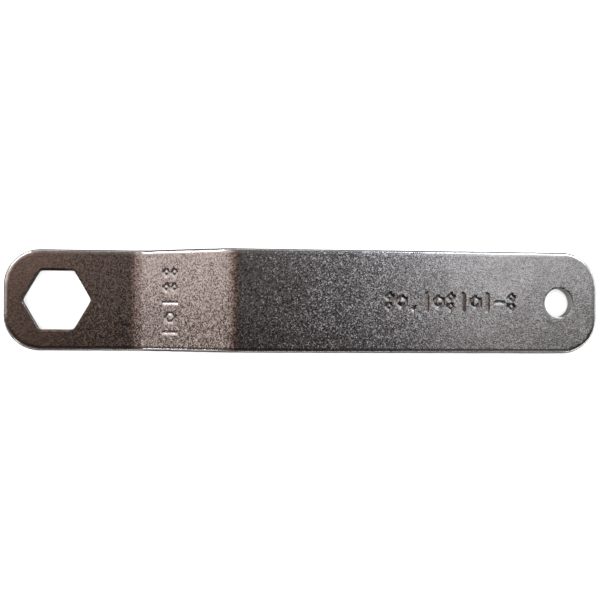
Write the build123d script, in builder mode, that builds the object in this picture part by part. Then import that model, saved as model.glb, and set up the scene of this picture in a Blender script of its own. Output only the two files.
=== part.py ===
"""A cranked flat ring wrench: one piece of plated steel strip.

The wrench is drawn with its head flat on XY, the hexagon's axis on Z and the handle running
towards +X. It is then laid down the way it rests on a table, on the knee under its lower
bend and on the far edge of its handle. The finished part has the table at Z = 0 and its
origin at the centre of its footprint.
"""

import os
from math import asin, atan2, cos, degrees, hypot, radians, sin, tan

from build123d import *

# Driving dimensions, in millimetres and degrees

strip_thickness = 3.2
strip_width = 22.7
corner_radius = 8.0  # both ends of the strip, seen from above

across_flats = 13.1  # takes a 13 mm nut with 0.1 mm of play
hexagon_corner_radius = 1.0
end_to_hexagon = 11.6  # from the head's end to the hexagon's centre
hexagon_to_hole = 111.5
hole_radius = 3.2
hole_to_end = 9.1  # from the hanging hole's centre to the handle's end

crank_angle = 33.8  # slope of the crank against the head and the handle
crank_height = 12.8  # from the head's face to the handle's face
hexagon_to_bend = 16.1  # from the hexagon's centre to where the lower bend starts
bevel_angle = 12.5  # the lower bend turns in two steps, with a short bevel between them
bevel_run = 2.45  # level distance between the corners of the two steps
first_radius = 8.0  # inside the first step
second_radius = 1.3  # inside the second step
upper_radius = 5.0  # inside the upper bend

rim_rounding = 1.0  # rolled-over edge that the blanking die leaves on the upper face
rim_burr = 0.3  # rounding left on the lower edge, where the burr was tumbled off
hexagon_rounding = 0.1  # edge around the hexagon
hole_rounding = 0.15  # rolled-over edge of the hanging hole
punch_burr = 0.2  # chamfer under the two openings

stamp_depth = 0.12
stamp_stroke = 0.55  # width of a stamped line
stamp_height = 4.2  # height of a stamped sign
stamp_wall = 60.0  # how far the sides of a stamped line lean, from upright
size_stamp_length = 16.6  # across the crank's slope
size_stamp_place = (-0.5, 3.4)  # sideways and downhill from the middle of the slope
lot_stamp_length = 30.5  # along the handle
lot_stamp_centre = 86.6  # from the hexagon's centre

# Worked out from the driving dimensions

middle = strip_thickness / 2
knee_radius = first_radius + strip_thickness
crank = radians(crank_angle)
bevel = radians(bevel_angle)
bevel_start = hexagon_to_bend + (first_radius + middle) * tan(bevel / 2)
bevel_rise = bevel_run * tan(bevel)
slope_start = bevel_start + bevel_run
slope_end = slope_start + (crank_height - bevel_rise) / tan(crank)
head_end = -end_to_hexagon
handle_end = hexagon_to_hole + hole_to_end
handle_top = crank_height + strip_thickness

# How far the wrench tips about Y to rest: the line under the knee and the handle's last edge
knee = (hexagon_to_bend, knee_radius)
last_edge = (handle_end - rim_burr, crank_height + rim_burr)
reach = last_edge[0] - knee[0]
rise = last_edge[1] - knee[1]
rest_angle = atan2(rise, reach) + asin((knee_radius - rim_burr) / hypot(reach, rise))


def facing(part, direction):
    """The faces of a part that look up (1), sideways (0) or down (-1)."""
    return part.faces().filter_by(lambda face: round(face.normal_at().Z) == direction)


# Signs for the stamps: plain shapes, each in its own place along a row


def outlined(x, y, radius, side_count):
    """A polygon drawn in one stamped line, standing on a corner."""
    inner_radius = radius - stamp_stroke / cos(radians(180 / side_count))
    with Locations((x, y)):
        RegularPolygon(radius, side_count, rotation=90)
        RegularPolygon(inner_radius, side_count, rotation=90, mode=Mode.SUBTRACT)


def bar(place):
    with Locations((place, 0)):
        Rectangle(stamp_stroke, stamp_height)


def dot(place):
    with Locations((place, stamp_stroke - stamp_height / 2)):
        Circle(stamp_stroke)


def dash(place):
    with Locations((place, 0)):
        Rectangle(stamp_height / 2, stamp_stroke)


def nut(place):
    outlined(place, 0, stamp_height / 3, 6)


def diamonds(place):
    for side in (-1, 1):
        outlined(place, side * stamp_height / 4, stamp_height / 4, 4)


def row(length, signs):
    """Evenly spaced signs over a length."""
    pitch = length / len(signs)
    for number, sign in enumerate(signs):
        sign((number + 0.5) * pitch - length / 2)


# The wrench with its head flat on XY

with BuildPart() as drawn:
    # Side view of the bent strip, swept across its width
    with BuildSketch(Plane.XZ):
        with BuildLine():
            FilletPolyline(
                (head_end, middle),
                (bevel_start, middle),
                (slope_start, bevel_rise + middle),
                (slope_end, crank_height + middle),
                (handle_end, crank_height + middle),
                radius=(first_radius + middle, second_radius + middle, upper_radius + middle),
            )
        trace(line_width=strip_thickness)
    extrude(amount=strip_width / 2, both=True)

    # Outline of the blank, with its rounded ends
    with BuildSketch():
        with Locations(((head_end + handle_end) / 2, 0)):
            RectangleRounded(handle_end - head_end, strip_width, corner_radius)
    extrude(amount=handle_top, mode=Mode.INTERSECT)
    rim = facing(drawn, 0).edges()

    # Hexagon and hanging hole
    with BuildSketch():
        RegularPolygon(across_flats / 2, 6, major_radius=False)
        fillet(vertices(), hexagon_corner_radius)
        with Locations((hexagon_to_hole, 0)):
            Circle(hole_radius)
    extrude(amount=handle_top, mode=Mode.SUBTRACT)
    punched = facing(drawn, 0).edges() - rim
    hole = punched.filter_by(GeomType.CIRCLE).filter_by(lambda edge: edge.radius == hole_radius)

    # Edges, rolled over above and nearly sharp below
    above = facing(drawn, 1).edges()
    below = facing(drawn, -1).edges()
    fillet(rim & above, rim_rounding)
    fillet(rim & below, rim_burr)
    fillet((punched & above) - hole, hexagon_rounding)
    fillet(hole & above, hole_rounding)
    chamfer(punched & below, punch_burr)

    # Stamps on the slope and on the handle
    slope_face = Plane(
        origin=((slope_start + slope_end) / 2, 0, (bevel_rise + crank_height) / 2 + middle),
        x_dir=(0, 1, 0),
        z_dir=(-sin(crank), 0, cos(crank)),
    ).offset(middle)
    with BuildSketch(slope_face):
        with Locations(size_stamp_place):
            row(size_stamp_length, [bar, nut, bar, diamonds, diamonds])
    handle_face = Plane.XY.offset(handle_top)
    with BuildSketch(handle_face):
        with Locations((lot_stamp_centre, 0)):
            row(
                lot_stamp_length,
                [diamonds, nut, dot, bar, nut, diamonds, bar, nut, bar, dash, diamonds],
            )
    extrude(amount=-stamp_depth, taper=stamp_wall, mode=Mode.SUBTRACT)

# The wrench at rest on the table

lying = drawn.part.rotate(Axis.Y, degrees(rest_angle))
footprint = lying.bounding_box()
with BuildPart() as wrench_body:
    with Locations((-footprint.center().X, 0, -footprint.min.Z)):
        add(lying)
wrench_body.part.label = "wrench_body"

os.makedirs("parts", exist_ok=True)
export_step(wrench_body.part, "parts/wrench_body.step")
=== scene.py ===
"""The looks of a cranked flat ring wrench, lying on a pale table."""

from math import copysign, cos, radians, sin

import bmesh
import bpy
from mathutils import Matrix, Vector, noise


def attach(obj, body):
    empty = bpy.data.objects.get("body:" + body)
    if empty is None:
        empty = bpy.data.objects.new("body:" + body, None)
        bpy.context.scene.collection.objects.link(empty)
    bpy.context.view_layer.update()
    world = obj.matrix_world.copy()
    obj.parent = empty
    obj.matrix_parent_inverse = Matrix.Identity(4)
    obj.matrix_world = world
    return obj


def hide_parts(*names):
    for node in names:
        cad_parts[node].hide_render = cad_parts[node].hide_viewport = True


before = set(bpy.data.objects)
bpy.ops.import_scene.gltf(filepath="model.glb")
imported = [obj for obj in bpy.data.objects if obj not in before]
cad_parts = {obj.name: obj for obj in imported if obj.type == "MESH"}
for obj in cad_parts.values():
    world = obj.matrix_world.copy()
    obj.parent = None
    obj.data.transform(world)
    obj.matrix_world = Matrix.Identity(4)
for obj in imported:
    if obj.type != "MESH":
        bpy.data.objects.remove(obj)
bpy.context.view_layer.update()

MM = 0.001
LEAN = radians(7.05)  # how far the head and the handle lean from level
CELL = 0.6 * MM  # spacing of the cuts that divide the surface evenly
WELD = 0.001 * MM
SLIVER = 0.03 * MM  # corners closer than this after the cuts become one
SHARP = radians(32)
ALONG = Vector((cos(LEAN), 0, -sin(LEAN)))  # from the head to the handle's end
ACROSS = Vector((0, 1, 0))
UP = Vector((sin(LEAN), 0, cos(LEAN)))  # away from the head and the handle
REACH_ALONG = 70 * MM  # the cuts go this far from the middle
REACH_ACROSS = 12 * MM
REACH_UP = 14 * MM
FLAT = radians(0.5)  # faces that lean less than this against each other become one
HALF_STRIP = 1.6 * MM
HOLE = (57.4 * MM, 0, 2.9 * MM)  # centre of the hanging hole
# How far the faces and the rims wander inwards, and over what distance. A rim starts where the
# surface leans this much from the flat, given as a cosine, and is all rim at the second value.
RIM_STARTS = 0.8
RIM_ONLY = 0.6
FACE_WAVE = 0.03 * MM
FACE_WAVE_SIZE = 7 * MM
RIM_WAVE = 0.07 * MM
RIM_WAVE_SIZE = 2.2 * MM
# The middle of the strip, seen from the side, as X and Z: head end, two corners of the
# lower bend, one of the upper bend, handle end
STRIP_LINE = (
    Vector((-0.06635, 0.00507)),
    Vector((-0.03781, 0.00154)),
    Vector((-0.03531, 0.00178)),
    Vector((-0.01564, 0.01170)),
    Vector((0.06643, 0.00155)),
)

# Levels are linear. The room's light along X, from the head's side (-1) to the handle's (1)
ROOM_ALONG_X = (
    (-1.0, (0.50, 0.485, 0.48)),
    (-0.93, (0.36, 0.32, 0.305)),
    (-0.87, (0.42, 0.345, 0.32)),
    (-0.8, (0.41, 0.335, 0.305)),
    (-0.7, (0.39, 0.325, 0.30)),
    (-0.5, (0.37, 0.305, 0.28)),
    (-0.3, (0.26, 0.20, 0.178)),
    (-0.1, (0.13, 0.092, 0.078)),
    (0.0, (0.115, 0.075, 0.058)),
    (0.1, (0.062, 0.049, 0.044)),
    (0.2, (0.055, 0.052, 0.050)),
    (0.27, (0.070, 0.067, 0.068)),
    (0.32, (0.14, 0.139, 0.147)),
    (0.37, (0.31, 0.305, 0.32)),
    (0.42, (0.51, 0.505, 0.515)),
    (0.47, (0.34, 0.34, 0.345)),
    (0.54, (0.19, 0.193, 0.195)),
    (0.8, (0.25, 0.25, 0.26)),
    (1.0, (0.55, 0.55, 0.56)),
)
# How much of it there is along Y, from the front (-1) to the back (1)
ROOM_ALONG_Y = (
    (-1.0, (0.14, 0.14, 0.14)),
    (-0.5, (0.08, 0.08, 0.08)),
    (-0.2, (0.03, 0.027, 0.026)),
    (-0.08, (0.045, 0.040, 0.038)),
    (-0.03, (0.125, 0.118, 0.115)),
    (0.0, (0.21, 0.20, 0.197)),
    (0.06, (0.39, 0.39, 0.40)),
    (0.12, (0.48, 0.48, 0.49)),
    (0.3, (0.5, 0.5, 0.5)),
    (0.5, (0.5, 0.6, 0.66)),
    (1.0, (0.5, 0.6, 0.66)),
)
ROOM_LEVEL = 5.0


# Geometry


def add_object(name, data):
    made = bpy.data.objects.new(name, data)
    bpy.context.scene.collection.objects.link(made)
    return made


def cut_evenly(bm, normal, reach):
    """Cuts a mesh by parallel planes, one cell apart, from -reach to reach along a normal."""
    count = int(reach / CELL)
    for number in range(-count, count + 1):
        bmesh.ops.bisect_plane(
            bm,
            geom=bm.verts[:] + bm.edges[:] + bm.faces[:],
            dist=WELD,
            plane_co=normal * number * CELL,
            plane_no=normal,
        )


def strip_level(place):
    """Where a point is through the strip's thickness: -1 at the lower face, 1 at the upper."""
    flat = Vector((place.x, place.z))
    nearest = None
    for start, end in zip(STRIP_LINE, STRIP_LINE[1:]):
        along = end - start
        share = min(max((flat - start).dot(along) / along.length_squared, 0), 1)
        gap = flat - start - share * along
        if nearest is None or gap.length < nearest[0].length:
            nearest = (gap, along)
    gap, along = nearest
    return copysign(gap.length / HALF_STRIP, along.x * gap.y - along.y * gap.x)


def make_wrench(cad):
    """The CAD solid's own shape, with an even mesh that can carry unevenness and wear."""
    bm = bmesh.new()
    bm.from_mesh(cad.data)
    bmesh.ops.remove_doubles(bm, verts=bm.verts, dist=WELD)
    bmesh.ops.dissolve_limit(bm, angle_limit=FLAT, verts=bm.verts, edges=bm.edges)
    cut_evenly(bm, ALONG, REACH_ALONG)
    cut_evenly(bm, ACROSS, REACH_ACROSS)
    cut_evenly(bm, UP, REACH_UP)
    bmesh.ops.remove_doubles(bm, verts=bm.verts, dist=SLIVER)
    layer = bm.verts.layers.float.new("level")
    bm.normal_update()
    for vert in bm.verts:
        vert[layer] = strip_level(vert.co)
        slant = abs(vert.normal.dot(UP))
        rim = min(max((RIM_STARTS - slant) / (RIM_STARTS - RIM_ONLY), 0), 1)
        wave = FACE_WAVE * (1 + noise.noise(vert.co / FACE_WAVE_SIZE))
        nick = RIM_WAVE * (1 + noise.noise(vert.co / RIM_WAVE_SIZE))
        vert.co -= vert.normal * (wave + rim * nick) / 2
    mesh = bpy.data.meshes.new("wrench")
    bm.to_mesh(mesh)
    bm.free()
    mesh.polygons.foreach_set("use_smooth", [True] * len(mesh.polygons))
    mesh.set_sharp_from_angle(angle=SHARP)
    return add_object("wrench", mesh)


# Materials


def new_tree(material):
    material.use_nodes = True
    return material.node_tree


def add_node(tree, kind, values=(), **settings):
    made = tree.nodes.new(kind)
    for name, value in settings.items():
        setattr(made, name, value)
    for name, value in dict(values).items():
        if isinstance(value, bpy.types.NodeSocket):
            tree.links.new(value, made.inputs[name])
        else:
            made.inputs[name].default_value = value
    return made


def noise_at(tree, place, size, detail):
    """Noise whose lumps are about this large."""
    values = {"Vector": place, "Scale": 1 / size, "Detail": detail}
    return add_node(tree, "ShaderNodeTexNoise", values).outputs["Fac"]


def between(tree, value, low, high, to_low=0.0, to_high=1.0):
    """A value taken from one range to another and kept inside it."""
    values = {"Value": value, "From Min": low, "From Max": high}
    values.update({"To Min": to_low, "To Max": to_high})
    return add_node(tree, "ShaderNodeMapRange", values).outputs["Result"]


def maths(tree, operation, first, second):
    return add_node(tree, "ShaderNodeMath", {0: first, 1: second}, operation=operation).outputs[0]


def mix_colour(tree, share, low, high):
    values = {"Factor": share, 6: low, 7: high}
    return add_node(tree, "ShaderNodeMix", values, data_type="RGBA").outputs[2]


def bump(tree, height, distance, below=None):
    """A bump of this real height, in metres, laid over another one."""
    values = {"Strength": 1.0, "Distance": distance, "Height": height}
    if below is not None:
        values["Normal"] = below
    return add_node(tree, "ShaderNodeBump", values).outputs["Normal"]


def facets(tree, place, normal, size, tilt):
    """A surface broken into tiny facets, each one leaning its own way."""
    cells = add_node(tree, "ShaderNodeTexVoronoi", {"Vector": place, "Scale": 1 / size})
    values = {0: cells.outputs["Color"], 1: (0.5, 0.5, 0.5)}
    lean = add_node(tree, "ShaderNodeVectorMath", values, operation="SUBTRACT")
    values = {0: lean.outputs[0], "Scale": tilt}
    lean = add_node(tree, "ShaderNodeVectorMath", values, operation="SCALE")
    total = add_node(tree, "ShaderNodeVectorMath", {0: lean.outputs[0], 1: normal}, operation="ADD")
    level = add_node(tree, "ShaderNodeVectorMath", {0: total.outputs[0]}, operation="NORMALIZE")
    return level.outputs[0]


def plated_steel():
    """Bright plating over tumbled steel, finely grained, with a sheared band down its walls."""
    material = bpy.data.materials.new("plated_steel")
    tree = new_tree(material)
    shader = tree.nodes["Principled BSDF"]
    place = add_node(tree, "ShaderNodeTexCoord").outputs["Object"]
    geometry = add_node(tree, "ShaderNodeNewGeometry")
    level = add_node(tree, "ShaderNodeAttribute", attribute_name="level").outputs["Fac"]

    grain = noise_at(tree, place, 0.3 * MM, 1.0)
    peel = noise_at(tree, place, 1.3 * MM, 2.0)
    cloud = noise_at(tree, place, 6 * MM, 3.0)
    edge = between(tree, geometry.outputs["Pointiness"], 0.51, 0.56)

    # Edges and walls are duller: they are rougher, and they are painted dark with a dimmed
    # reflection, which is painted shade. The lower two thirds of a wall are torn, not cut
    values = {0: geometry.outputs["Normal"], 1: UP}
    shape = add_node(tree, "ShaderNodeVectorMath", values, operation="DOT_PRODUCT")
    slant = maths(tree, "ABSOLUTE", shape.outputs["Value"], 0.0)
    dull_and_shaded = between(tree, slant, 0.78, 0.55)
    upright = between(tree, slant, 0.3, 0.15)
    torn = maths(tree, "MULTIPLY", upright, between(tree, level, 0.35, 0.15))

    # The painted shade is weaker on the hanging hole's wall, which has no torn band; the torn band
    # fades on the head's walls, so their painted shade stays the blackest
    along = add_node(tree, "ShaderNodeSeparateXYZ", {"Vector": place}).outputs["X"]
    from_hole = add_node(tree, "ShaderNodeVectorMath", {0: place, 1: HOLE}, operation="DISTANCE")
    elsewhere = between(tree, from_hole.outputs["Value"], 3.6 * MM, 3.7 * MM)
    torn = maths(tree, "MULTIPLY", torn, elsewhere)
    torn = maths(tree, "MULTIPLY", torn, between(tree, along, -48 * MM, -38 * MM, 0.2, 1.0))
    dull_and_shaded = maths(tree, "MULTIPLY", dull_and_shaded, maths(tree, "MAXIMUM", elsewhere, 0.7))

    # The grain is worn flat at the head's end and thins out towards the handle's end
    kept = maths(
        tree,
        "MULTIPLY",
        between(tree, along, -58 * MM, -44 * MM, 0.3, 1.0),
        between(tree, along, 5 * MM, 35 * MM, 1.0, 0.42),
    )

    # Lighter on the grain's bumps and darker in its pits: random tone, partly painted shade in the
    # pits
    speckle_and_pit_shade = between(tree, grain, 0.3, 0.7)
    tone = mix_colour(tree, speckle_and_pit_shade, (0.55, 0.54, 0.53, 1), (0.69, 0.68, 0.67, 1))
    stained = maths(tree, "MULTIPLY", between(tree, cloud, 0.5, 0.7), 0.35)
    tone = mix_colour(tree, stained, tone, (0.42, 0.41, 0.405, 1))
    tone = mix_colour(tree, maths(tree, "MULTIPLY", edge, 0.6), tone, (0.82, 0.80, 0.78, 1))
    # Painted shade: edges and walls are darkened towards black by how far they lean
    tone = mix_colour(tree, maths(tree, "MULTIPLY", dull_and_shaded, 0.95), tone, (0.05, 0.047, 0.045, 1))
    tone = mix_colour(tree, maths(tree, "MULTIPLY", torn, 0.7), tone, (0.33, 0.32, 0.31, 1))
    rough = between(tree, cloud, 0.3, 0.7, 0.11, 0.16)
    rough = maths(tree, "ADD", rough, maths(tree, "MULTIPLY", dull_and_shaded, 0.2))
    # Painted shade: the reflection of edges and walls is dimmed towards black
    painted_rim_shade = mix_colour(tree, dull_and_shaded, (1, 1, 1, 1), (0.06, 0.058, 0.056, 1))

    tilt = maths(tree, "MULTIPLY", kept, 0.11)
    normal = facets(tree, place, geometry.outputs["Normal"], 0.24 * MM, tilt)
    normal = bump(tree, peel, 0.012 * MM, normal)
    normal = bump(tree, grain, 0.012 * MM, normal)
    shader.inputs["Metallic"].default_value = 1.0
    tree.links.new(tone, shader.inputs["Base Color"])
    tree.links.new(painted_rim_shade, shader.inputs["Specular Tint"])
    tree.links.new(rough, shader.inputs["Roughness"])
    tree.links.new(normal, shader.inputs["Normal"])
    return material


def pale_paper():
    material = bpy.data.materials.new("pale_paper")
    tree = new_tree(material)
    shader = tree.nodes["Principled BSDF"]
    shader.inputs["Base Color"].default_value = (0.9, 0.9, 0.9, 1)
    shader.inputs["Roughness"].default_value = 0.9
    return material


# Stage


def make_table():
    size = 1.5
    mesh = bpy.data.meshes.new("table")
    corners = [(-size, -size, 0), (size, -size, 0), (size, size, 0), (-size, size, 0)]
    mesh.from_pydata(corners, [], [(0, 1, 2, 3)])
    mesh.materials.append(pale_paper())
    table = add_object("table", mesh)


def make_room():
    """A dim room, seen by direction: dark overhead, lighter towards the sides."""
    world = bpy.data.worlds.new("room")
    bpy.context.scene.world = world
    tree = new_tree(world)
    direction = add_node(tree, "ShaderNodeTexCoord").outputs["Generated"]

    def ramp(axis, stops):
        values = {0: direction, 1: axis}
        along = add_node(tree, "ShaderNodeVectorMath", values, operation="DOT_PRODUCT")
        share = between(tree, along.outputs["Value"], -1.0, 1.0)
        made = add_node(tree, "ShaderNodeValToRGB", {"Fac": share})
        elements = made.color_ramp.elements
        while len(elements) < len(stops):
            elements.new(0.5)
        for element, (place, value) in zip(elements, stops):
            element.position = (place + 1) / 2
            element.color = (*value, 1)
        return made.outputs["Color"]

    product = add_node(
        tree,
        "ShaderNodeMix",
        {"Factor": 1.0, 6: ramp((1, 0, 0), ROOM_ALONG_X), 7: ramp((0, 1, 0), ROOM_ALONG_Y)},
        data_type="RGBA",
        blend_type="MULTIPLY",
    )
    background = tree.nodes["Background"]
    background.inputs["Strength"].default_value = ROOM_LEVEL
    tree.links.new(product.outputs[2], background.inputs["Color"])


def add_softbox(name, centre, width, height, power):
    """An upright soft light that faces the wrench."""
    data = bpy.data.lights.new(name, "AREA")
    data.shape = "RECTANGLE"
    data.size = width
    data.size_y = height
    data.energy = power
    lamp = add_object(name, data)
    lamp.location = centre
    lamp.rotation_mode = "QUATERNION"
    lamp.rotation_quaternion = (-Vector(centre)).to_track_quat("-Z", "Y")
    lamp.visible_camera = False
    return lamp


def make_camera():
    """24 cm above the table, looking almost straight down."""
    data = bpy.data.cameras.new("camera")
    camera = add_object("camera", data)
    camera.location = (-0.0020, -0.0040, 0.2419)
    camera.rotation_euler = (0.0181, -0.0068, radians(0.356))
    data.sensor_width = 36
    data.lens = 63.73
    data.clip_start = 0.01
    bpy.context.scene.camera = camera


make_camera()
make_table()
make_room()
add_softbox("back_left", (-0.40, 0.42, 0.12), 0.36, 0.24, 1.2)
add_softbox("back_right", (0.33, 0.42, 0.12), 0.36, 0.24, 1.4)
add_softbox("front_left", (-0.45, -0.40, 0.07), 0.12, 0.10, 0.16)
add_softbox("front_right", (0.45, -0.40, 0.07), 0.30, 0.10, 0.15)
fill = add_softbox("fill", (0.0, 0.0, 1.5), 2.0, 2.0, 58.0)
fill.visible_glossy = False
bpy.context.scene.view_settings.view_transform = "Standard"

wrench = make_wrench(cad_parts["wrench_body"])
wrench.data.materials.clear()
wrench.data.materials.append(plated_steel())
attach(wrench, "root")
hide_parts("wrench_body")
